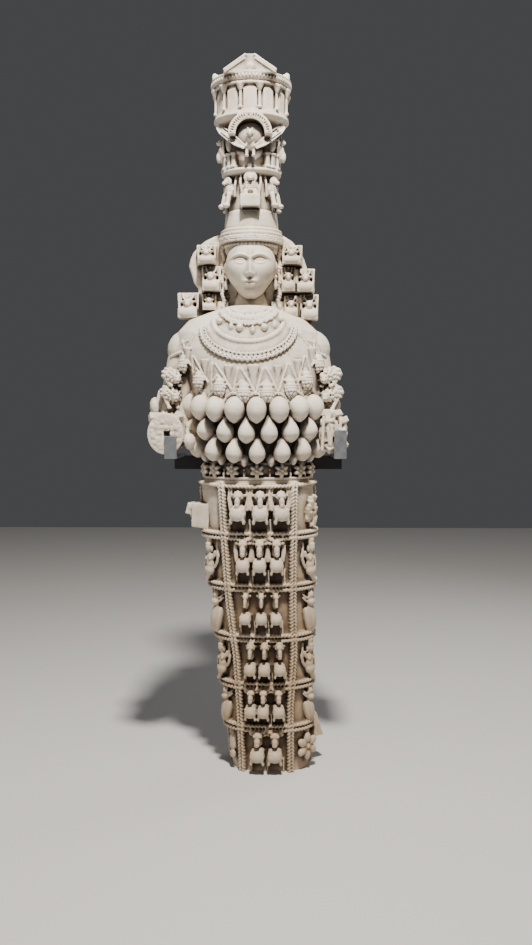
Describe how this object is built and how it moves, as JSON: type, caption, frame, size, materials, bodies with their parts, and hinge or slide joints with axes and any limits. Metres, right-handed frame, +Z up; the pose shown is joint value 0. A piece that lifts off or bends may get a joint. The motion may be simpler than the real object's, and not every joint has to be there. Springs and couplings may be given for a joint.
{
  "type": "marble cult statue",
  "caption": "Tall columnar marble goddess in a tower crown, with animal relief panels, pendant ovals, broken forearms and a steel support cradle behind.",
  "frame": {"origin": "centre of the statue's flat underside, on the floor plane", "axes": "+Z up along the figure, the figure faces -Y, +X to the right of a viewer who stands in front"},
  "size_m": [0.8052, 0.5402, 2.92],
  "materials": {
    "marble": "aged cream marble, weathered and dull, brown dirt in the recesses",
    "steel": "satin grey paint"
  },
  "bodies": {
    "root": {"artemis_statue": "marble", "cradle_strap_left": "steel", "cradle_strap_right": "steel", "cradle_crossbar": "steel", "cradle_post": "steel", "cradle_foot_plate": "steel"}
  },
  "joints": []
}
